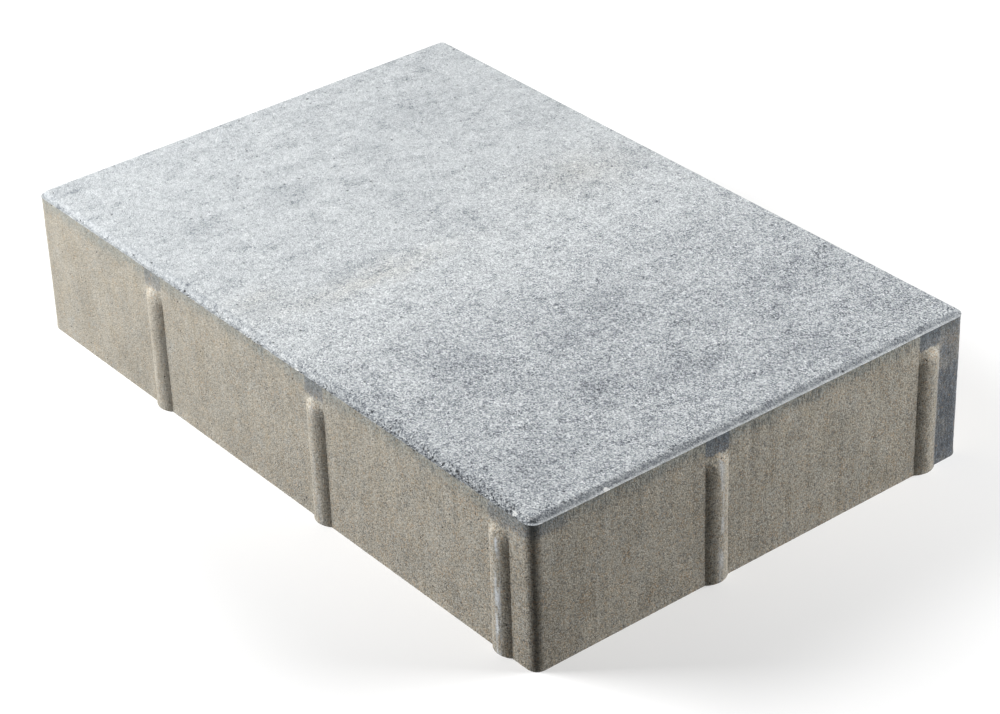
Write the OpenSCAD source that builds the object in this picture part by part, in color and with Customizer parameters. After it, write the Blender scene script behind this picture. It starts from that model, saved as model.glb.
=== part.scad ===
// Concrete paving stone with a stepped round arris and spacer ribs.
// X runs along the stone, Y across it, Z up from the underside; millimetres.

/* [Stone] */
// Length of the block, without its ribs
stone_length = 296; // [180:1:400]
// Width of the block, without its ribs
stone_width = 197; // [100:1:300]
// Thickness from the bedding face to the walking face
stone_height = 60; // [40:1:120]
// Radius of the four upright corners
corner_radius = 4; // [2:0.5:12]

/* [Arris] */
// Width of the flat ledge that runs round the walking face
ledge_width = 1.3; // [0.5:0.1:3]
// Radius of the round between the ledge and the walking face
arris_radius = 2; // [1:0.25:5]

/* [Spacer ribs] */
// Width of a rib where it leaves the side
rib_width = 10.5; // [6:0.5:16]
// How far a rib stands out from the side
rib_depth = 2; // [1:0.1:4]
// Length of the rib's rounded upper end
rib_nose = 5.25; // [3:0.25:15]
// Distance from the ledge down to the tips of the ribs
rib_top_gap = 6; // [3:0.5:15]
// Distance between neighbouring ribs on one side
rib_pitch = 100; // [40:1:140]
// First rib on a long side, from the stone's right end seen from outside
long_rib_start = 17; // [14:0.5:40]
// First rib on a short side, from the stone's right end seen from outside
short_rib_start = 17.5; // [14:0.5:40]

/* [Colour] */
// Colour of the concrete
concrete_colour = [0.72, 0.73, 0.73]; // [0:0.01:1]

/* [Hidden] */
$fn = 96;

// The raised walking face starts below the ledge, so that it grows out of the block
crown_root = 1;
// The ribs start inside the block for the same reason
rib_root = 1;

ledge_z = stone_height - arris_radius;
crown_length = stone_length - 2 * ledge_width;
crown_width = stone_width - 2 * ledge_width;
crown_corner = max(corner_radius - ledge_width, arris_radius);

rib_tip_z = ledge_z - rib_top_gap;
// A rib is a slice of a round-nosed bar: the arc through its foot and crest gives the bar's radius,
// and the arc through the tip and the crest gives the radius of the nose
rib_bar_radius = (pow(rib_width / 2, 2) + pow(rib_depth, 2)) / (2 * rib_depth);
rib_nose_radius = (pow(rib_nose, 2) + pow(rib_depth, 2)) / (2 * rib_depth);
// A side carries as many ribs as fit between its first one and this distance from its left end
rib_left_margin = corner_radius + rib_width;

function rib_count(side, start) = floor((side - start - rib_left_margin) / rib_pitch) + 1;

module rounded_plan(length, width, radius) {
    square([length - 2 * radius, width], center = true);
    square([length, width - 2 * radius], center = true);
    for (x = [-1, 1], y = [-1, 1])
        translate([x * (length / 2 - radius), y * (width / 2 - radius)])
            circle(radius);
}

// Section of the walking face's border, from the middle part out to the ledge: its upper edge is a quarter round
module crown_section() {
    square([crown_corner, crown_root]);
    translate([0, crown_root])
        intersection() {
            union() {
                square([crown_corner - arris_radius, arris_radius]);
                translate([crown_corner - arris_radius, 0])
                    circle(arris_radius);
            }
            square([crown_corner, arris_radius]);
        }
}

// One side of the border, along +X from the origin, with its round towards -Y
module crown_side(length) {
    rotate([90, 0, -90])
        translate([0, 0, -length])
            linear_extrude(length)
                crown_section();
}

// Walking face: a flat middle, and a border that runs along its four sides and turns its four corners
module crown() {
    middle = [crown_length - 2 * crown_corner, crown_width - 2 * crown_corner];
    translate([-middle.x / 2, -middle.y / 2, 0])
        cube([middle.x, middle.y, crown_root + arris_radius]);
    for (turn = [0 : 3]) {
        along = turn % 2 == 0 ? middle.x : middle.y;
        across = turn % 2 == 0 ? middle.y : middle.x;
        rotate([0, 0, 90 * turn])
            translate([-along / 2, -across / 2, 0]) {
                crown_side(along);
                rotate([0, 0, 180])
                    rotate_extrude(angle = 90)
                        crown_section();
            }
    }
}

// Half section of the round-nosed bar, from the underside to past the rib's tip
module rib_section() {
    nose_z = rib_tip_z - rib_nose;
    square([rib_bar_radius, nose_z]);
    translate([0, nose_z])
        intersection() {
            translate([rib_bar_radius - rib_nose_radius, 0])
                circle(rib_nose_radius);
            square([rib_bar_radius, rib_nose_radius]);
        }
}

// One rib, standing out towards -Y from a side that lies in the plane Y = 0
module rib() {
    slice_width = rib_width + 4 * rib_root;
    intersection() {
        translate([0, rib_bar_radius - rib_depth, 0])
            rotate_extrude()
                rib_section();
        translate([-slice_width / 2, -2 * rib_depth, 0])
            cube([slice_width, 2 * rib_depth + rib_root, rib_tip_z + rib_root]);
    }
}

// Ribs of a side that faces -Y, counted from its right end
module rib_row(side, start) {
    for (i = [0 : rib_count(side, start) - 1])
        translate([side / 2 - start - i * rib_pitch, 0, 0])
            rib();
}

module paving_stone() {
    color(concrete_colour) {
        linear_extrude(ledge_z)
            rounded_plan(stone_length, stone_width, corner_radius);
        translate([0, 0, ledge_z - crown_root])
            crown();
        for (turn = [0, 180])
            rotate([0, 0, turn]) {
                translate([0, -stone_width / 2, 0])
                    rib_row(stone_length, long_rib_start);
                rotate([0, 0, 90])
                    translate([0, -stone_length / 2, 0])
                        rib_row(stone_width, short_rib_start);
            }
    }
}

paving_stone();
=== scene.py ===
import math

import bmesh
import bpy
from mathutils import Matrix, Vector


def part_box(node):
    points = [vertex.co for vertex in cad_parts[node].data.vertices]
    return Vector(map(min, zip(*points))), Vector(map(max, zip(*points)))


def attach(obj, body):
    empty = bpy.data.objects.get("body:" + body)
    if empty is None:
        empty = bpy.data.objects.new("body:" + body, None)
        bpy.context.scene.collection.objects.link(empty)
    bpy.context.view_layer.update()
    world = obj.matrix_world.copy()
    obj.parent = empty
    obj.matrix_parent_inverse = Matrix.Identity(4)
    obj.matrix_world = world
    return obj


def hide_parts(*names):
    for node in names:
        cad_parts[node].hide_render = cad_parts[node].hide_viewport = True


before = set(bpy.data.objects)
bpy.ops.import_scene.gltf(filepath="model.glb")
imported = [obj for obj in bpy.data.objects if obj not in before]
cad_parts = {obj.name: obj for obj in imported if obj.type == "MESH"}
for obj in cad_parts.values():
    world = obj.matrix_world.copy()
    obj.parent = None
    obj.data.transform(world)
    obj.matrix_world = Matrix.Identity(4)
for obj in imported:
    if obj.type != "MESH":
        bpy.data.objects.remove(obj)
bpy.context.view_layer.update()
mm = 0.001
tiny = 0.02 * mm              # places nearer than this are one place
stoneNode = "paving_stone"


# the cast block

block = {
    "corner": 4.0 * mm,       # radius of the upright corners
    "cornerSteps": 6,
    "ledge": 1.3 * mm,        # flat rim round the walking face
    "arris": 2.0 * mm,        # round from the rim up to the walking face
    "arrisSteps": 5,
    "cell": 1.2 * mm,         # size of the faces, and of the finer ones on the ribs
    "ribCell": 0.9 * mm,
    "rows": (28, 12, 4),      # faces up the sides: below the rib noses, over them, and up to the ledge
    "lift": 0.5 * mm,         # the underside stays this high until the ribs are out
    "level": 0.9,             # a normal with more than this of up or down is a level face's
    "crease": 30,             # degrees; sharper folds stay crisp
}

ribs = {
    "width": 10.5 * mm,
    "depth": 2.0 * mm,
    "reach": 3.0 * mm,        # the sides look for the ribs this far out
    "pitch": 100.0 * mm,
    "longStart": 17.0 * mm,   # from a corner to the middle of the first rib
    "shortStart": 17.5 * mm,
    "noseLow": 45.0 * mm,     # the rounded upper ends lie between these heights
    "noseHigh": 53.0 * mm,
}

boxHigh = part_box(stoneNode)[1]
halfLength = boxHigh.x - ribs["depth"]
halfWidth = boxHigh.y - ribs["depth"]
stoneHeight = boxHigh.z
ledgeZ = stoneHeight - block["arris"]


def pick(kind, test):
    # select the verts, edges or faces of the open mesh that pass a test
    mesh = bpy.context.edit_object.data
    edited = bmesh.from_edit_mesh(mesh)
    bpy.ops.mesh.select_all(action="DESELECT")
    bpy.ops.mesh.select_mode(type={"verts": "VERT", "edges": "EDGE", "faces": "FACE"}[kind])
    for part in getattr(edited, kind):
        part.select_set(test(part))
    edited.select_flush_mode()
    bmesh.update_edit_mesh(mesh)


def runsAlong(edge, axis, length):
    # True for an edge of this length, along one axis, that isn't inside the underside
    span = edge.verts[1].co - edge.verts[0].co
    if abs(abs(span[axis]) - length) > tiny or abs(span.length - length) > tiny:
        return False
    return any(face.normal.z > -block["level"] for face in edge.link_faces)


def cutAcross(axis, places):
    normal = Vector((0, 0, 0))
    normal[axis] = 1
    for place in places:
        bpy.ops.mesh.select_all(action="SELECT")
        bpy.ops.mesh.bisect(plane_co=normal * place, plane_no=normal)


def spread(low, high, count):
    return [low + (high - low) * i / count for i in range(count + 1)]


def ribRoots(half, start):
    # where the ribs of both opposite sides begin and end, and the ends of the straight stretch
    inside = half - block["corner"]
    places = {-inside, inside}
    middle = half - start
    while middle > -inside:
        for root in (middle - ribs["width"] / 2, middle + ribs["width"] / 2):
            places |= {root, -root}
        middle -= ribs["pitch"]
    return sorted(places)


def castBlock():
    bpy.ops.object.select_all(action="DESELECT")
    bpy.ops.mesh.primitive_cube_add(size=1, location=(0, 0, (ledgeZ + block["lift"]) / 2),
                                    scale=(2 * halfLength, 2 * halfWidth, ledgeZ - block["lift"]))
    bpy.ops.object.transform_apply(location=True, rotation=True, scale=True)
    stone = bpy.context.object
    stone.name = stone.data.name = "paving_stone_cast"
    bpy.ops.object.mode_set(mode="EDIT")
    pick("edges", lambda edge: runsAlong(edge, 2, ledgeZ - block["lift"]))
    bpy.ops.mesh.bevel(offset=block["corner"], segments=block["cornerSteps"], affect="EDGES")

    # rim, then the round up to the walking face as a row of insets along its arc
    pick("faces", lambda face: face.normal.z > block["level"])
    bpy.ops.mesh.inset(thickness=block["ledge"], depth=0)
    turns = spread(0, math.pi / 2, block["arrisSteps"])
    for before, after in zip(turns, turns[1:]):
        bpy.ops.mesh.inset(thickness=block["arris"] * (math.cos(before) - math.cos(after)),
                           depth=block["arris"] * (math.sin(after) - math.sin(before)))

    # cuts at the rib roots and up the sides, then fine strips that spare the underside
    roots = ribRoots(halfLength, ribs["longStart"]), ribRoots(halfWidth, ribs["shortStart"])
    for axis in (0, 1):
        cutAcross(axis, roots[axis])
    heights = [block["lift"], ribs["noseLow"], ribs["noseHigh"], ledgeZ]
    for low, high, rows in zip(heights, heights[1:], block["rows"]):
        cutAcross(2, spread(low, high, rows)[1:])
    for axis in (0, 1):
        strips = {round((high - low) / tiny) * tiny for low, high in zip(roots[axis], roots[axis][1:])}
        for strip in sorted(strips):
            cell = block["ribCell"] if abs(strip - ribs["width"]) < tiny else block["cell"]
            pick("edges", lambda edge: runsAlong(edge, axis, strip))
            bpy.ops.mesh.subdivide(number_cuts=round(strip / cell) - 1)
    bpy.ops.object.mode_set(mode="OBJECT")
    print("block cut:", len(stone.data.polygons), "faces")
    return stone


def group(stone, name, weigh):
    # vertex group whose weight comes from a function of a vertex
    made = stone.vertex_groups.new(name=name)
    for vert in stone.data.vertices:
        weight = weigh(vert)
        if weight > 0:
            made.add([vert.index], min(weight, 1), "REPLACE")
    return name


def apply(stone, modifier):
    bpy.context.view_layer.objects.active = stone
    bpy.ops.object.modifier_apply(modifier=modifier.name)


def pushRibs(stone):
    # the grid of each pair of sides is drawn out onto the ribs of the solid
    sides = {
        "x": group(stone, "shortSides", lambda vert: float(abs(abs(vert.co.x) - halfLength) < tiny)),
        "y": group(stone, "longSides", lambda vert: float(abs(abs(vert.co.y) - halfWidth) < tiny)),
    }
    for axis, name in sides.items():
        wrap = stone.modifiers.new("ribs", "SHRINKWRAP")
        wrap.wrap_method = "PROJECT"
        wrap.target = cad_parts[stoneNode]
        wrap.vertex_group = name
        setattr(wrap, "use_project_" + axis, True)
        wrap.use_positive_direction = True
        wrap.use_negative_direction = True
        wrap.project_limit = ribs["reach"]
        apply(stone, wrap)
    bpy.ops.object.mode_set(mode="EDIT")
    pick("verts", lambda vert: vert.co.z < block["lift"] + tiny)
    bpy.ops.transform.translate(value=(0, 0, -block["lift"]))
    bpy.ops.object.mode_set(mode="OBJECT")
    bpy.ops.object.shade_smooth_by_angle(angle=math.radians(block["crease"]))
    print("ribs out:", [round(side / mm, 2) for side in stone.dimensions])


# grit, waves and chipped edges pressed into the cast surface, inwards only

wear = {
    # by vertex group: grain of the texture, depth of the relief, and the ramp that keeps its deep spots
    "waves": {"grain": 22.0 * mm, "octaves": 1, "depth": 0.25 * mm},
    "sides": {"grain": 1.6 * mm, "octaves": 1, "depth": 0.10 * mm},
    "walkingFace": {"grain": 1.6 * mm, "octaves": 2, "depth": 0.40 * mm},
    "noses": {"grain": 1.5 * mm, "octaves": 1, "depth": 0.55 * mm},
    "arris": {"grain": 2.2 * mm, "octaves": 2, "depth": 0.80 * mm, "spots": (0.30, 0.58)},
}

chips = {
    "reach": 5.0 * mm,        # chips reach this far in from the side
    "farEnd": 0.5,            # share of the chipping at the far end of the worn edge
    "soundCorner": 10.0 * mm,   # it fades out this near the front corner
    "soundEdge": 0.05,        # share of the chipping on the three cleaner edges
    "footing": 3.0 * mm,      # the sides run out to a clean bottom edge over this height
    "standsOut": 0.3 * mm,    # what stands out of the sides further than this is rib
}


def edgeGap(vert):
    # how far a vertex lies in from the nearest side
    return min(halfLength - abs(vert.co.x), halfWidth - abs(vert.co.y))


def chipping(vert):
    # most on the worn edge, and more of it towards the front corner
    if vert.co.z < ledgeZ - tiny or edgeGap(vert) > chips["reach"]:
        return 0
    if vert.co.y + halfWidth < chips["reach"]:
        share = chips["farEnd"] + (1 - chips["farEnd"]) * (0.5 + vert.co.x / halfLength / 2)
        share *= min(1, (halfLength - vert.co.x) / chips["soundCorner"])
        return share * (1 - (vert.co.y + halfWidth) / chips["reach"])
    return chips["soundEdge"]


def sideRelief(vert):
    if vert.co.z > ledgeZ - tiny or edgeGap(vert) > block["corner"]:
        return 0
    return vert.co.z / chips["footing"]


def crumbling(vert):
    # the noses of the ribs are the roughest
    if edgeGap(vert) > -chips["standsOut"]:
        return 0
    return (vert.co.z - ribs["noseLow"]) / chips["footing"]


def weather(stone):
    weights = {
        "waves": sideRelief,
        "sides": sideRelief,
        "walkingFace": lambda vert: float(vert.co.z > stoneHeight - tiny),
        "noses": crumbling,
        "arris": chipping,
    }
    for name, weigh in weights.items():
        group(stone, name, weigh)
    for name, relief in wear.items():
        grit = bpy.data.textures.new(name, "CLOUDS")
        grit.noise_scale = relief["grain"]
        grit.noise_depth = relief["octaves"]
        if "spots" in relief:
            grit.use_color_ramp = True
            for stop, place, shade in zip(grit.color_ramp.elements, relief["spots"], (0, 1)):
                stop.position = place
                stop.color = (shade, shade, shade, shade)
        press = stone.modifiers.new(name, "DISPLACE")
        press.texture = grit
        press.texture_coords = "LOCAL"
        press.vertex_group = name
        press.mid_level = 1
        press.strength = relief["depth"]
        apply(stone, press)
    print("surface worn:", [round(side / mm, 2) for side in stone.dimensions])


stone = castBlock()
faced = [poly.index for poly in stone.data.polygons
         if all(stone.data.vertices[i].co.z > ledgeZ - tiny for i in poly.vertices)]
pushRibs(stone)
weather(stone)


# concrete, in millimetres of the stone's own frame

halfLong = halfLength / mm
halfWide = halfWidth / mm
seedShift = (7.3, 3.1, 5.7)   # how far each seed moves a pattern, in grains


class Wire:
    # one socket of a material; plain maths on wires adds Math nodes
    def __init__(self, socket):
        self.socket = socket

    def node(self, kind, settings=(), sockets=(), result=0):
        # any other node: its settings first, then the values or links of its sockets
        tree = self.socket.id_data
        made = tree.nodes.new("ShaderNode" + kind)
        for name, value in dict(settings).items():
            if name == "stops":
                ramp = made.color_ramp.elements
                while len(ramp) < len(value):
                    ramp.new(1)
                for stop, (place, colour) in zip(ramp, value):
                    stop.position = place
                    stop.color = colour
            else:
                setattr(made, name, value)
        for name, value in dict(sockets).items():
            if isinstance(value, Wire):
                tree.links.new(value.socket, made.inputs[name])
            else:
                made.inputs[name].default_value = value
        return Wire(made.outputs[result])

    def other(self, result):
        # another output of the node that this wire comes from
        return Wire(self.socket.node.outputs[result])

    def maths(self, operation, *inputs):
        return self.node("Math", {"operation": operation}, enumerate(inputs))

    def __add__(self, other):
        return self.maths("ADD", self, other)

    def __sub__(self, other):
        return self.maths("SUBTRACT", self, other)

    def __rsub__(self, other):
        return self.maths("SUBTRACT", other, self)

    def __mul__(self, other):
        return self.maths("MULTIPLY", self, other)

    def __gt__(self, other):
        return self.maths("GREATER_THAN", self, other)

    def __lt__(self, other):
        return self.maths("LESS_THAN", self, other)

    def __abs__(self):
        return self.maths("ABSOLUTE", self)

    __radd__ = __add__
    __rmul__ = __mul__


def shifted(at, size, seed, stretch=(1, 1, 1)):
    # a position counted in grains of a size, moved so that no two patterns line up
    scale = [1 / (size * axis) for axis in stretch]
    shift = [seed * axis for axis in seedShift]
    return at.node("VectorMath", {"operation": "MULTIPLY_ADD"}, {0: at, 1: scale, 2: shift})


def noise(at, size, seed, stretch=(1, 1, 1), detail=1.0, rough=0.5):
    # cloudy noise about zero, nearly all of it between -0.5 and 0.5
    where = shifted(at, size, seed, stretch)
    cloudy = {"Vector": where, "Scale": 1, "Detail": detail, "Roughness": rough}
    return where.node("TexNoise", {}, cloudy) - 0.5


def grains(at, size, seed):
    # packed grains: a tone and a tint drawn for each, from 0 to 1, and the way out from its middle
    where = shifted(at, size, seed)
    cells = where.node("TexVoronoi", {}, {"Vector": where, "Scale": 1}, "Color")
    drawn = cells.node("SeparateColor", {}, {"Color": cells})
    return drawn, drawn.other("Green"), cells.other("Distance")


def step(value, low, high):
    # smooth rise from 0 at low to 1 at high; a fall where low is above high
    return value.node("MapRange", {"interpolation_type": "SMOOTHSTEP"},
                      {"Value": value, "From Min": low, "From Max": high})


def blend(share, first, last):
    # straight from one number to another as a share goes from 0 to 1
    return first + (last - first) * share


def larger(first, second):
    return first.maths("MAXIMUM", first, second)


def colourMix(share, first, second, how="MIX"):
    return share.node("Mix", {"data_type": "RGBA", "blend_type": how}, {0: share, 6: first, 7: second}, 2)


def paint(red, green, blue):
    return (red, green, blue, 1)


def finish(name, surface, settings):
    # a material from a function that gives colour and relief at a place
    made = bpy.data.materials.new(name)
    made.use_nodes = True
    shader = made.node_tree.nodes["Principled BSDF"]
    metres = Wire(made.node_tree.nodes.new("ShaderNodeTexCoord").outputs["Object"])
    at = metres.node("VectorMath", {"operation": "SCALE"}, {0: metres, "Scale": 1 / mm})
    colour, height = surface(at)
    bump = height.node("Bump", {}, {"Height": height, "Distance": 1 * mm})
    made.node_tree.links.new(colour.socket, shader.inputs["Base Color"])
    made.node_tree.links.new(bump.socket, shader.inputs["Normal"])
    shader.inputs["Roughness"].default_value = settings["roughness"]
    shader.inputs["Specular IOR Level"].default_value = settings["specular"]
    return made


# facing mix of the walking face: light on the left, clouded darker past the middle;
# a pair of places or values is where something starts and where it is full

facing = {
    "roughness": 0.85,
    "specular": 0.3,
    "tones": [
        (0.00, paint(0.061, 0.068, 0.080)), (0.30, paint(0.225, 0.245, 0.270)),
        (0.62, paint(0.484, 0.510, 0.527)), (1.00, paint(0.855, 0.875, 0.880)),
    ],
    "light": 0.640,           # tone of the clean face
    # it darkens along the length in two steps: where each starts and ends, and how much darker
    "steps": [((10, 51), 0.090), ((62, 84), 0.040)],
    # grey clouds: middle, half length and half width, and how much darker
    "clouds": [
        ((62, 5), (25, 24), 0.15), ((67, -17), (16, 22), 0.13), ((60, -56), (27, 23), 0.15),
        ((58, -92), (24, 15), 0.08), ((100, -30), (21, 21), 0.13), ((111, 0), (14, 33), 0.14),
        ((129, 45), (17, 33), 0.09), ((128, 84), (27, 21), 0.06), ((92, 66), (17, 48), 0.07),
        ((122, -76), (23, 25), 0.09), ((-19, -43), (12, 42), 0.15), ((-18, -86), (11, 27), 0.12),
        ((-20, 7), (14, 21), 0.09), ((-20, 56), (20, 24), 0.10), ((-17, 90), (20, 18), 0.10),
        ((-48, 3), (30, 24), 0.07), ((-80, -29), (14, 18), 0.10), ((-81, -69), (15, 17), 0.10),
        ((-102, 48), (27, 36), 0.08), ((-88, 16), (24, 21), 0.07),
        ((-141, -88), (16, 22), 0.08), ((62, 92), (16, 14), 0.06),
        ((107, 25), (14, 17), -0.07), ((57, -78), (17, 14), -0.07),
    ],
    # buff stain: middle, half length and half width, and how strong
    "buff": [((-9, -44), (12, 70), 0.6), ((-23, -84), (18, 24), 0.4), ((-20, 64), (30, 44), 0.5)],
    "buffTint": paint(1.04, 0.99, 0.91),
    "wisps": {"size": 8.0, "detail": 5, "rough": 0.75},   # ragged edges of the clouds and the stain
    "stray": (12.0, 18.0),    # how far those stray, along and across

    # smudges dragged across the width, which are barest where they are worst
    "smudge": {"size": 5.0, "seed": 1, "stretch": (1, 2, 1), "detail": 4, "rough": 0.7},
    "smudgeDepth": 0.36,
    "bare": (0.06, 0.20),
    "bareDepth": 0.055,

    # packed sand: its contrast at the light end and the dark one, more of it on smudges, and pale grains
    "grain": {"size": 0.43, "seed": 2},
    "grainTone": (0.25, 0.66),
    "grainFade": (-110, 95),
    "smudgeGrain": 1.2,
    "paleFrom": 0.96,
    "paleTone": 0.4,
    "coarse": {"size": 2.2, "seed": 3, "detail": 2, "rough": 0.7},   # coarser sand under it
    "coarseTone": 0.34,

    # dark flecks: share, more on clouds, smudges and bare spots, depth and outline; a few are white
    "fleck": {"size": 1.0, "seed": 10},
    "fleckShare": 0.14,
    "cloudFlecks": 0.8,
    "smudgeFlecks": 0.50,
    "bareFlecks": 0.25,
    "fleckDepth": 0.17,
    "fleckSoft": (0.05, -0.05),
    "fleckRound": (0.60, 0.25),
    "whiteFrom": 0.965,
    "whiteTone": 0.16,
    "whiteRound": (0.5, 0.2),

    # in from the sides: smooth cement skin on the ledge, made paler with painted light where the round
    # would shadow it, then the round, which is darker with painted shade
    "ledge": (1.45, 1.05),
    "ledgeSkinAndLight": 0.67,
    "ledgeSmudge": 0.25,
    "ledgeSmooth": 0.4,       # share of the grain that is lost
    "arris": (2.8, 1.5),
    "arrisShade": 0.095,
    "arrisSmooth": 0.3,

    # the worn long edge: a crumbled lip with patchy painted shade, a dark seam behind it, and painted
    # light on it near the front corner
    "worn": (5.0, 1.0),
    "lip": (1.6, 0.8),
    "lipSand": (0.12, -0.06),
    "lipAlong": (-100, 60),
    "lipShare": (0.3, 1.0),
    "lipShade": 0.13,
    "seamFront": (1.7, 2.3),
    "seamBack": (3.8, 3.0),
    "seamAlong": (-140, -50),
    "seamShade": 0.09,
    # painted light on the worn edge near the front corner
    "litCorner": (135, 143),
    "litCornerTone": 0.10,

    # grains that fell out, their holes painted dark as shade: share, and more along the worn edge, where
    # they crowd towards the corner
    "pit": {"size": 1.35, "seed": 4},
    "pitShare": 0.03,
    "edgePits": 0.80,
    "pitCrowd": (20, 130),
    "pitEnd": (143, 138),
    "pitCrowding": (0.45, 1.0),
    "pitReach": (1.8, 4.8),
    "pitInner": 0.3,          # share of that reach where all of them are
    "pitRim": (0.26, 0.56),   # outline of small and large ones, and their dark heart
    "pitHeart": 0.14,
    "pitShadeDepth": (0.55, 0.85),   # on the face, and on the worn edge
    "pitShadeColour": paint(0.030, 0.034, 0.040),

    # clean breaks on the edges: middle and half sizes
    "freshChips": [
        ((138.4, -97.6, 58.6), (1.6, 0.95, 1.0)), ((147.4, -66.5, 58.0), (1.1, 1.3, 1.1)),
        ((21.5, -98.2, 58.5), (1.8, 0.9, 1.0)),
    ],
    "freshRim": (1.0, 0.8),
    "freshFray": 0.6,
    "freshColour": paint(0.92, 0.93, 0.92),
    "relief": {"sand": 0.40, "grain": 0.25, "pit": 0.5, "ledgeSmooth": 0.7},
}


def patches(at, spots):
    # sum of soft round patches on the walking face
    total = 0
    for (x, y), (halfX, halfY), strength in spots:
        where = at.node("VectorMath", {"operation": "MULTIPLY_ADD"},
                        {0: at, 1: (1 / halfX, 1 / halfY, 0), 2: (-x / halfX, -y / halfY, 0)})
        patch = where.node("TexGradient", {"gradient_type": "QUADRATIC_SPHERE"}, {"Vector": where})
        total = patch.maths("MULTIPLY_ADD", patch, strength, total)
    return total


def strayed(at):
    # a place moved about, which gives what is drawn there a ragged edge
    wisps = facing["wisps"]
    strayX, strayY = facing["stray"]
    ragged = at.node("TexNoise", {}, {"Vector": at, "Scale": 1 / wisps["size"], "Detail": wisps["detail"],
                                      "Roughness": wisps["rough"]}, "Color")
    wander = ragged.node("VectorMath", {"operation": "MULTIPLY_ADD"},
                         {0: ragged, 1: (2 * strayX, 2 * strayY, 0), 2: (-strayX, -strayY, 0)})
    return at.node("VectorMath", {"operation": "ADD"}, {0: at, 1: wander})


class Face:
    # where a place lies on the walking face, and the patterns that its colours share
    def __init__(self, at):
        self.at = at
        self.x = at.node("SeparateXYZ", {}, {0: at}, "X")
        y = self.x.other("Y")
        inset = y.maths("MINIMUM", halfLong - abs(self.x), halfWide - abs(y))
        self.front = y + halfWide
        self.worn = step(self.front, *facing["worn"])
        self.rim = step(inset, *facing["ledge"]) * (1 - self.worn)
        self.arris = step(inset, *facing["arris"]) * (1 - self.rim) * (1 - self.worn)

        self.clouded = strayed(at)
        self.clouds = patches(self.clouded, facing["clouds"])
        alongClouds = at.node("SeparateXYZ", {}, {0: self.clouded}, "X")
        for ends, darker in facing["steps"]:
            self.clouds = self.clouds + darker * step(alongClouds, *ends)
        self.smudge = noise(at, **facing["smudge"])
        self.bare = step(self.smudge, *facing["bare"])
        self.sand = noise(at, **facing["coarse"])


def packedSand(face):
    # sand, with dark flecks that crowd where the face is dark
    tone, tint, middle = grains(face.at, **facing["grain"])
    contrast = blend(step(face.x, *facing["grainFade"]), *facing["grainTone"])
    contrast = contrast * (1 + facing["smudgeGrain"] * face.smudge)
    level = contrast * ((tone - 0.5) + facing["paleTone"] * (tint > facing["paleFrom"]))
    level = level + facing["coarseTone"] * face.sand

    chance, bright, around = grains(face.at, **facing["fleck"])
    share = facing["fleckShare"] + facing["cloudFlecks"] * face.clouds
    share = share + facing["smudgeFlecks"] * face.smudge + facing["bareFlecks"] * face.bare
    fleck = step(chance - share, *facing["fleckSoft"]) * step(around, *facing["fleckRound"])
    white = (bright > facing["whiteFrom"]) * step(around, *facing["whiteRound"])
    return level - facing["fleckDepth"] * fleck + facing["whiteTone"] * white, middle


def facingTone(face, grit):
    # clouds and sand, then the ledge with its painted light, the round above it with painted shade, and
    # the long edge that wore away, with painted shade on its lip and painted light near the front corner
    cloud = facing["light"] - face.clouds - facing["smudgeDepth"] * face.smudge
    cloud = cloud - facing["bareDepth"] * face.bare
    level = cloud + grit * (1 - facing["ledgeSmooth"] * face.rim - facing["arrisSmooth"] * face.arris)
    # painted light: the ledge takes a pale tone, partly its cement skin and partly light that the round
    # would shade off it
    level = level + face.rim * (facing["ledgeSkinAndLight"] + facing["ledgeSmudge"] * face.smudge - cloud)
    # painted shade on the round above the ledge
    level = level - facing["arrisShade"] * face.arris

    # patchy painted shade on the crumbled lip of the worn edge
    lip = step(face.front, *facing["lip"]) * step(face.sand, *facing["lipSand"])
    lip = lip * blend(step(face.x, *facing["lipAlong"]), *facing["lipShare"])
    seam = step(face.front, *facing["seamFront"]) * step(face.front, *facing["seamBack"])
    seam = seam * step(face.x, *facing["seamAlong"])
    level = level - facing["lipShade"] * lip - facing["seamShade"] * seam
    # painted light on the worn edge near the front corner
    return level + facing["litCornerTone"] * step(face.x, *facing["litCorner"]) * face.worn


def fallenGrains(face):
    # pits, most of them along the worn edge towards the front corner
    chance, size, around = grains(face.at, **facing["pit"])
    sound = step(face.x, *facing["pitEnd"])
    crowded = step(face.x, *facing["pitCrowd"]) * sound
    reach = blend(crowded, *facing["pitReach"])
    pitting = sound * step(face.front, reach, facing["pitInner"] * reach)
    pitting = pitting * blend(crowded, *facing["pitCrowding"])
    share = facing["pitShare"] + facing["edgePits"] * pitting
    return (chance < share) * step(around, blend(size, *facing["pitRim"]), facing["pitHeart"])


def freshBreaks(face, colour):
    for place, reach in facing["freshChips"]:
        away = face.at.node("VectorMath", {"operation": "SUBTRACT"}, {0: face.at, 1: place})
        away = away.node("VectorMath", {"operation": "DIVIDE"}, {0: away, 1: reach})
        away = away.node("VectorMath", {"operation": "LENGTH"}, {0: away}, "Value")
        fresh = step(away + facing["freshFray"] * face.sand, *facing["freshRim"])
        colour = colourMix(fresh, colour, facing["freshColour"])
    return colour


def facingMix(at):
    face = Face(at)
    grit, middle = packedSand(face)
    level = facingTone(face, grit)
    colour = level.node("ValToRGB", {"stops": facing["tones"]}, {"Fac": level})
    colour = colourMix(patches(face.clouded, facing["buff"]), colour, facing["buffTint"], "MULTIPLY")
    pits = fallenGrains(face)
    # painted shade in the holes of the fallen grains, deeper on the worn edge
    colour = colourMix(blend(face.worn, *facing["pitShadeDepth"]) * pits, colour, facing["pitShadeColour"])
    colour = freshBreaks(face, colour)
    relief = facing["relief"]
    height = relief["sand"] * face.sand - relief["grain"] * middle
    height = height * (1 - relief["ledgeSmooth"] * face.rim)
    return colour, height - relief["pit"] * pits


# body concrete of the sides and the underside, struck from its mould;
# lows are counted down from the ledge, and outs from the plane of the side

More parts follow.
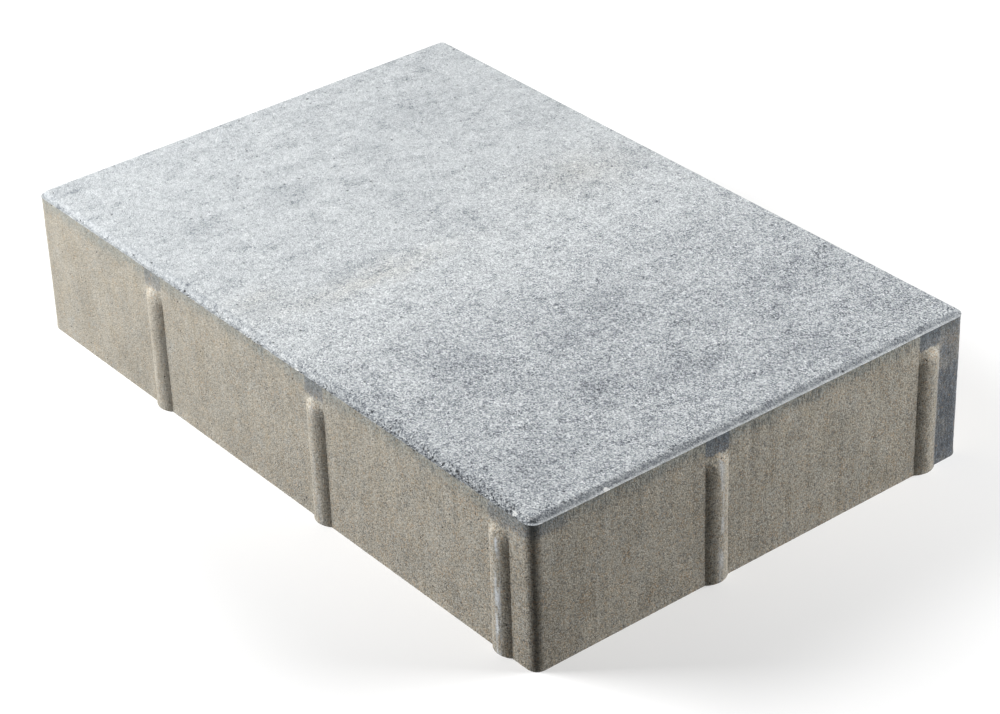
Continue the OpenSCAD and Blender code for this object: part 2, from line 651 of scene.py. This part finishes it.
body = {
    "roughness": 0.9,
    "specular": 0.3,
    "tones": [
        (0.1, paint(0.205, 0.188, 0.154)), (0.5, paint(0.417, 0.386, 0.324)),
        (0.9, paint(0.603, 0.570, 0.495)),
    ],
    "plain": 0.5,             # tone of the clean sides

    # patterns: streaks drawn up the sides, slow drift, sand, blotches, and packed grains
    "streaks": {"size": 3.0, "seed": 5, "stretch": (1, 1, 16), "detail": 4, "rough": 0.82},
    "drift": {"size": 13.0, "seed": 6, "stretch": (1, 1, 1.6), "detail": 3, "rough": 0.65},
    "sand": {"size": 1.6, "seed": 7, "detail": 3, "rough": 0.78},
    "blotch": {"size": 9.0, "seed": 11, "detail": 2, "rough": 0.6},
    "grain": {"size": 0.46, "seed": 8},
    # how much they show; two values are for short and long sides, and a third is what
    # the long ones gain with each millimetre towards the front corner
    "streakTone": (0.62, 0.38),
    "driftTone": 0.52,
    "sandTone": 0.36,
    "grainTone": 0.54,
    "contrast": (1.15, 0.90, 0.0027),
    "roughContrast": 0.6,     # more of it on gravel and on the rib noses
    "gravel": (0.10, 0.22),   # blotches past this are gravel
    "gravelShare": (1.0, 0.5),
    "noseOut": (0.05, 0.3),
    "noseLow": (13, 10),
    # the rib noses are paler: their own pale sand, and painted light on the upturned tops of the domes
    "noseSandAndLight": 0.13,
    "fade": 0.0011,           # the sides pale a little with each millimetre up, about this height
    "fadeAbout": 28,
    "bloom": {"size": 4.0, "seed": 16, "stretch": (1, 1, 5), "detail": 2, "rough": 0.6},   # pale lime
    "bloomFrom": (0.06, 0.24),
    "bloomTone": 0.10,
    "corner": (18, 12),       # this near to the front corner counts as round it; there the sides get painted shade, deeper lower down
    "cornerShadeLow": (8, 45),
    "cornerShade": 0.09,
    "hue": {"size": 6.0, "seed": 17, "stretch": (1, 1, 2), "detail": 4, "rough": 0.85},
    "hueTints": [(0.2, paint(1.03, 1.0, 0.95)), (-0.2, paint(0.965, 1.0, 1.05))],   # warm and cool

    # specks: tan and cool grains, and pinholes painted dark as shade
    "specks": (1.0, 0.7, 0.0022),
    "tan": paint(0.480, 0.345, 0.220),
    "tanFrom": (0.84, 0.95),
    "tanBlotch": 0.3,
    "tanRough": 0.1,
    "tanDepth": 0.6,
    "cool": paint(0.300, 0.310, 0.310),
    "coolFrom": (0.22, 0.10),
    "coolDepth": 0.5,
    "pinShare": 0.07,
    "pinholeShadeDepth": 0.50,

    # facing mix that ran down the sides; a fray is how far each pattern moves its lower edge
    "runTint": paint(0.86, 0.92, 0.97),
    "runLow": (6.5, 1.5),
    "runFray": {"streaks": 5, "drift": 9, "sand": 5},
    "thickTint": paint(0.43, 0.505, 0.655),
    # thick over a rib, down to its nose; on the long sides it changes from rib to rib
    "capDepth": (0.86, 0.48),
    "capAlong": [((-60, 30), 0.10), ((40, 120), -0.16)],
    "capFray": {"streaks": 3, "sand": 2},
    "capLow": (7.5, 6.5),
    "capOut": (0.25, 0.0),
    "capSoft": 0.3,
    "capSand": (0.3, 1.8),
    # thick all the way down past one place on a short side
    "endFrom": (82, 88),
    "endFray": {"drift": 3},
    "endOut": (-3, -1.5),
    "endLow": (8, 34),
    "endLowFray": {"blotch": 24},
    "endDepth": (0.6, 1.02),
    "endMottle": 1.6,
    # thick round the front corner
    "bendLow": (6.5, 4.5),
    "bendFray": {"sand": 5, "streaks": 4},
    "bendDepth": 0.45,
    # dark drips in it
    "drips": {"size": 0.5, "seed": 14, "stretch": (1, 1, 8), "detail": 2, "rough": 0.7},
    "dripFrom": (0.0, 0.11),
    "dripLow": (9, 2),
    "dripFray": {"streaks": 8, "drift": 6},
    "dripDepth": (0.70, 0.20, 0.001),
    "dripColour": paint(0.085, 0.092, 0.098),

    # cement smeared on the crests of the ribs, together with a painted highlight along their lit side
    "smearHighlight": {"size": 2.5, "seed": 12, "stretch": (1, 1, 5)},
    "smearHighlightSand": 0.4,
    "smearHighlightFrom": (-0.08, 0.12),
    "smearHighlightShort": (60, 0),    # where it is along the short sides, and its share there
    "shortShare": 0.5,
    "smearHighlightLong": (-10, 120),
    "crest": 0.5,             # it lies this far beside the middle of a rib
    "crestWide": (2.1, 0.3),
    "crestOut": (1.0, 1.5),
    "smearHighlightDepth": 0.85,
    "smearHighlightColour": paint(0.74, 0.78, 0.82),

    # facing grains that hang over the worn edge
    "spillLow": (0.0, -0.5),
    "spillFray": {"sand": 5},
    "spillDepth": 0.85,
    "spillColour": paint(0.52, 0.545, 0.56),

    # open pores painted dark as the shade in them, with more on the rib noses and under the long edges,
    # and tan stones
    "pore": {"size": 1.4, "seed": 9},
    "poreShare": 0.04,
    "nosePores": 0.22,
    "edgePores": 0.30,
    "edgeLow": (1.5, 0.5),
    "poreRim": (0.12, 0.40),
    "poreHeart": 0.05,
    "poreShadeDepth": 0.75,
    "poreShadeColour": paint(0.045, 0.042, 0.038),
    "stoneFrom": 0.94,
    "stoneRound": (0.5, 0.3),
    "stoneDepth": 0.35,
    "relief": {"sand": 0.18, "streaks": 0.06, "grain": 0.10, "pore": 0.4},
}


class Sides:
    # where a place lies on the sides, and the patterns that their colours share
    def __init__(self, at):
        self.at = at
        self.x = at.node("SeparateXYZ", {}, {0: at}, "X")
        self.y, self.z = self.x.other("Y"), self.x.other("Z")
        outLong = abs(self.y) - halfWide
        outShort = abs(self.x) - halfLong
        self.out = larger(outLong, outShort)
        self.onLong = outLong > outShort
        self.below = ledgeZ / mm - self.z

        # a half turn brings the far sides onto the near ones
        self.alongLong = 0 - self.x * at.maths("SIGN", self.y)
        self.alongShort = self.y * at.maths("SIGN", self.x)
        nearCorner = larger(halfLong - self.alongLong, halfWide + self.alongShort)
        self.corner = step(nearCorner, *body["corner"])
        firstLong = (halfLength - ribs["longStart"]) / mm
        firstShort = (halfWidth - ribs["shortStart"]) / mm
        halfPitch = ribs["pitch"] / mm / 2
        self.fromRib = self.bySide(at.maths("WRAP", self.alongShort - firstShort, halfPitch, -halfPitch),
                                   at.maths("WRAP", self.alongLong - firstLong, halfPitch, -halfPitch))
        self.nose = step(self.out, *body["noseOut"]) * step(self.below, *body["noseLow"])

        self.streaks = noise(at, **body["streaks"])
        self.drift = noise(at, **body["drift"])
        self.sand = noise(at, **body["sand"])
        self.blotch = noise(at, **body["blotch"])
        gravel = step(self.blotch, *body["gravel"]) * self.bySide(*body["gravelShare"])
        self.rough = larger(self.nose, gravel)

    def bySide(self, short, long, gain=0):
        # one value on the short sides and one on the long ones, which may gain towards the front corner
        if gain:
            long = long + gain * self.alongLong
        return short + self.onLong * (long - short)

    def frayed(self, place, fray):
        for pattern, far in fray.items():
            place = place + far * getattr(self, pattern)
        return place


def struckConcrete(sides):
    # the sides before anything ran over them
    tone, tint, middle = grains(sides.at, **body["grain"])
    level = body["grainTone"] * (tone - 0.5) + body["sandTone"] * sides.sand
    level = level + sides.bySide(*body["streakTone"]) * sides.streaks
    contrast = sides.bySide(*body["contrast"]) * (1 + body["roughContrast"] * sides.rough)
    level = body["plain"] + contrast * level + body["driftTone"] * sides.drift
    # paler rib noses, partly painted light on their tops
    level = level + body["fade"] * (sides.z - body["fadeAbout"]) + body["noseSandAndLight"] * sides.nose
    bloom = step(noise(sides.at, **body["bloom"]), *body["bloomFrom"])
    # painted shade on the sides round the front corner, deeper lower down
    shade = sides.corner * step(sides.below, *body["cornerShadeLow"])
    level = level + body["bloomTone"] * bloom - body["cornerShade"] * shade
    colour = level.node("ValToRGB", {"stops": body["tones"]}, {"Fac": level})
    hue = noise(sides.at, **body["hue"])
    for full, hueTint in body["hueTints"]:
        colour = colourMix(step(hue, 0, full), colour, hueTint, "MULTIPLY")

    specks = sides.bySide(*body["specks"])
    tan = step(tint + body["tanBlotch"] * sides.blotch + body["tanRough"] * sides.rough, *body["tanFrom"])
    colour = colourMix(body["tanDepth"] * specks * tan, colour, body["tan"])
    colour = colourMix(body["coolDepth"] * specks * step(tint, *body["coolFrom"]), colour, body["cool"])
    # pinholes: painted shade
    colour = colourMix(body["pinholeShadeDepth"] * specks * (tint < body["pinShare"]), colour, body["poreShadeColour"])
    return colour, middle


def ribCaps(sides):
    halfRib = ribs["width"] / mm / 2
    onRib = step(abs(sides.fromRib) + sides.bySide(*body["capSand"]) * sides.sand,
                 halfRib + body["capSoft"], halfRib - body["capSoft"])
    short, long = body["capDepth"]
    for ends, more in body["capAlong"]:
        long = long + more * step(sides.alongLong, *ends)
    low = step(sides.frayed(sides.below, body["capFray"]), *body["capLow"])
    return sides.bySide(short, long) * onRib * step(sides.out, *body["capOut"]) * low


def stainedEnd(sides):
    end = (1 - sides.onLong) * (sides.x > 0) * step(sides.out, *body["endOut"])
    end = end * step(sides.frayed(sides.alongShort, body["endFray"]), *body["endFrom"])
    low = step(sides.frayed(sides.below, body["endLowFray"]), *body["endLow"])
    return end * blend(low, *body["endDepth"]) * (1 + body["endMottle"] * sides.blotch)


def runDown(sides, colour):
    # a ragged band under the ledge, caps over the ribs, one stained end, and dark drips
    run = step(sides.frayed(sides.below, body["runFray"]), *body["runLow"])
    colour = colourMix(run, colour, body["runTint"], "MULTIPLY")
    bend = sides.corner * step(sides.frayed(sides.below, body["bendFray"]), *body["bendLow"])
    thick = larger(larger(ribCaps(sides), stainedEnd(sides)), body["bendDepth"] * bend)
    colour = colourMix(thick, colour, body["thickTint"], "MULTIPLY")
    wet = larger(thick, step(sides.frayed(sides.below, body["dripFray"]), *body["dripLow"]))
    drips = wet * step(noise(sides.at, **body["drips"]), *body["dripFrom"])
    return colourMix(sides.bySide(*body["dripDepth"]) * drips, colour, body["dripColour"])


def smearAndHighlightRibs(sides, colour):
    share = sides.bySide(body["shortShare"] * step(sides.alongShort, *body["smearHighlightShort"]),
                         step(sides.alongLong, *body["smearHighlightLong"]))
    crest = step(abs(sides.fromRib - body["crest"]), *body["crestWide"])
    crest = crest * step(sides.out, *body["crestOut"])
    patchy = noise(sides.at, **body["smearHighlight"]) + body["smearHighlightSand"] * sides.sand
    # partly cement smear, partly a painted highlight on the crests
    smearHighlight = body["smearHighlightDepth"] * (share * crest) * step(patchy, *body["smearHighlightFrom"])
    return colourMix(smearHighlight, colour, body["smearHighlightColour"])


def spillOver(sides, colour):
    low = step(sides.frayed(sides.below, body["spillFray"]), *body["spillLow"])
    spill = body["spillDepth"] * sides.onLong * (sides.y < 0) * low
    return colourMix(spill, colour, body["spillColour"])


def openPores(sides, colour):
    chance, size, around = grains(sides.at, **body["pore"])
    share = body["poreShare"] + body["nosePores"] * sides.nose
    share = share + body["edgePores"] * sides.onLong * step(sides.below, *body["edgeLow"])
    pores = (chance < share) * step(around, blend(size, *body["poreRim"]), body["poreHeart"])
    # painted shade in the open pores
    colour = colourMix(body["poreShadeDepth"] * pores, colour, body["poreShadeColour"])
    stones = (chance > body["stoneFrom"]) * step(around, *body["stoneRound"])
    return colourMix(body["stoneDepth"] * stones, colour, body["tan"]), pores


def bodyMix(at):
    sides = Sides(at)
    colour, middle = struckConcrete(sides)
    colour = runDown(sides, colour)
    colour = smearAndHighlightRibs(sides, colour)
    colour = spillOver(sides, colour)
    colour, pores = openPores(sides, colour)
    relief = body["relief"]
    height = relief["sand"] * sides.sand + relief["streaks"] * sides.streaks
    return colour, height - relief["grain"] * middle - relief["pore"] * pores


stone.data.materials.clear()
stone.data.materials.append(finish("bodyConcrete", bodyMix, body))
stone.data.materials.append(finish("facingConcrete", facingMix, facing))
for index in faced:
    stone.data.polygons[index].material_index = 1
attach(stone, "root")
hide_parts(stoneNode)
print("concrete dressed")


# studio

view = {
    "azimuth": 52.08,         # degrees round from the long side with the worn edge
    "elevation": 31.66,
    "roll": -2.09,
    "distance": 1.1125,
    "lens": 106.7,
    "aim": (0.0051, 0.0108),  # right and up from the stone's origin, across the view
}

softboxes = {
    "leftBox": {"azimuth": -46, "elevation": 31, "distance": 0.95, "size": 0.6, "power": 14.9},
    "rightBox": {"azimuth": 142, "elevation": 31, "distance": 0.95, "size": 0.6, "power": 10.0},
}

room = {
    "floorSize": 12.0,
    "floorColour": paint(0.8, 0.8, 0.8),
    "floorRoughness": 0.9,
    "floorGlow": 0.16,        # keeps the floor pale right up to the stone
    "lightColour": paint(1, 1, 1),
    "ambient": 0.070,
}


def pointAt(azimuth, elevation):
    # direction out of the stone's centre
    around, up = math.radians(azimuth), math.radians(elevation)
    return Vector((math.sin(around) * math.cos(up), -math.cos(around) * math.cos(up), math.sin(up)))


def placeCamera():
    turn = (Matrix.Rotation(math.radians(view["azimuth"]), 4, "Z")
            @ Matrix.Rotation(math.radians(90 - view["elevation"]), 4, "X")
            @ Matrix.Rotation(math.radians(view["roll"]), 4, "Z"))
    bpy.ops.object.camera_add()
    camera = bpy.context.object
    camera.data.lens = view["lens"]
    camera.matrix_world = turn @ Matrix.Translation((*view["aim"], view["distance"]))
    bpy.context.scene.camera = camera


def hangSoftboxes():
    for name, box in softboxes.items():
        away = pointAt(box["azimuth"], box["elevation"])
        bpy.ops.object.light_add(type="AREA", location=away * box["distance"])
        lamp = bpy.context.object
        lamp.name = name
        lamp.rotation_euler = away.to_track_quat("Z", "Y").to_euler()
        lamp.data.size = box["size"]
        lamp.data.energy = box["power"]


def layFloor():
    bpy.ops.mesh.primitive_plane_add(size=room["floorSize"])
    floor = bpy.context.object
    floor.name = "floor"
    floorPaint = bpy.data.materials.new("floorPaint")
    floorPaint.use_nodes = True
    shader = floorPaint.node_tree.nodes["Principled BSDF"]
    shader.inputs["Base Color"].default_value = room["floorColour"]
    shader.inputs["Roughness"].default_value = room["floorRoughness"]
    shader.inputs["Emission Color"].default_value = room["lightColour"]
    shader.inputs["Emission Strength"].default_value = room["floorGlow"]
    floor.data.materials.append(floorPaint)
    floor.visible_diffuse = False   # it throws no light back up at the sides


def lightRoom():
    world = bpy.data.worlds.new("room")
    bpy.context.scene.world = world
    world.use_nodes = True
    sky = world.node_tree.nodes["Background"]
    sky.inputs["Color"].default_value = room["lightColour"]
    sky.inputs["Strength"].default_value = room["ambient"]
    bpy.context.scene.view_settings.view_transform = "Standard"


placeCamera()
hangSoftboxes()
layFloor()
lightRoom()
print("studio set")
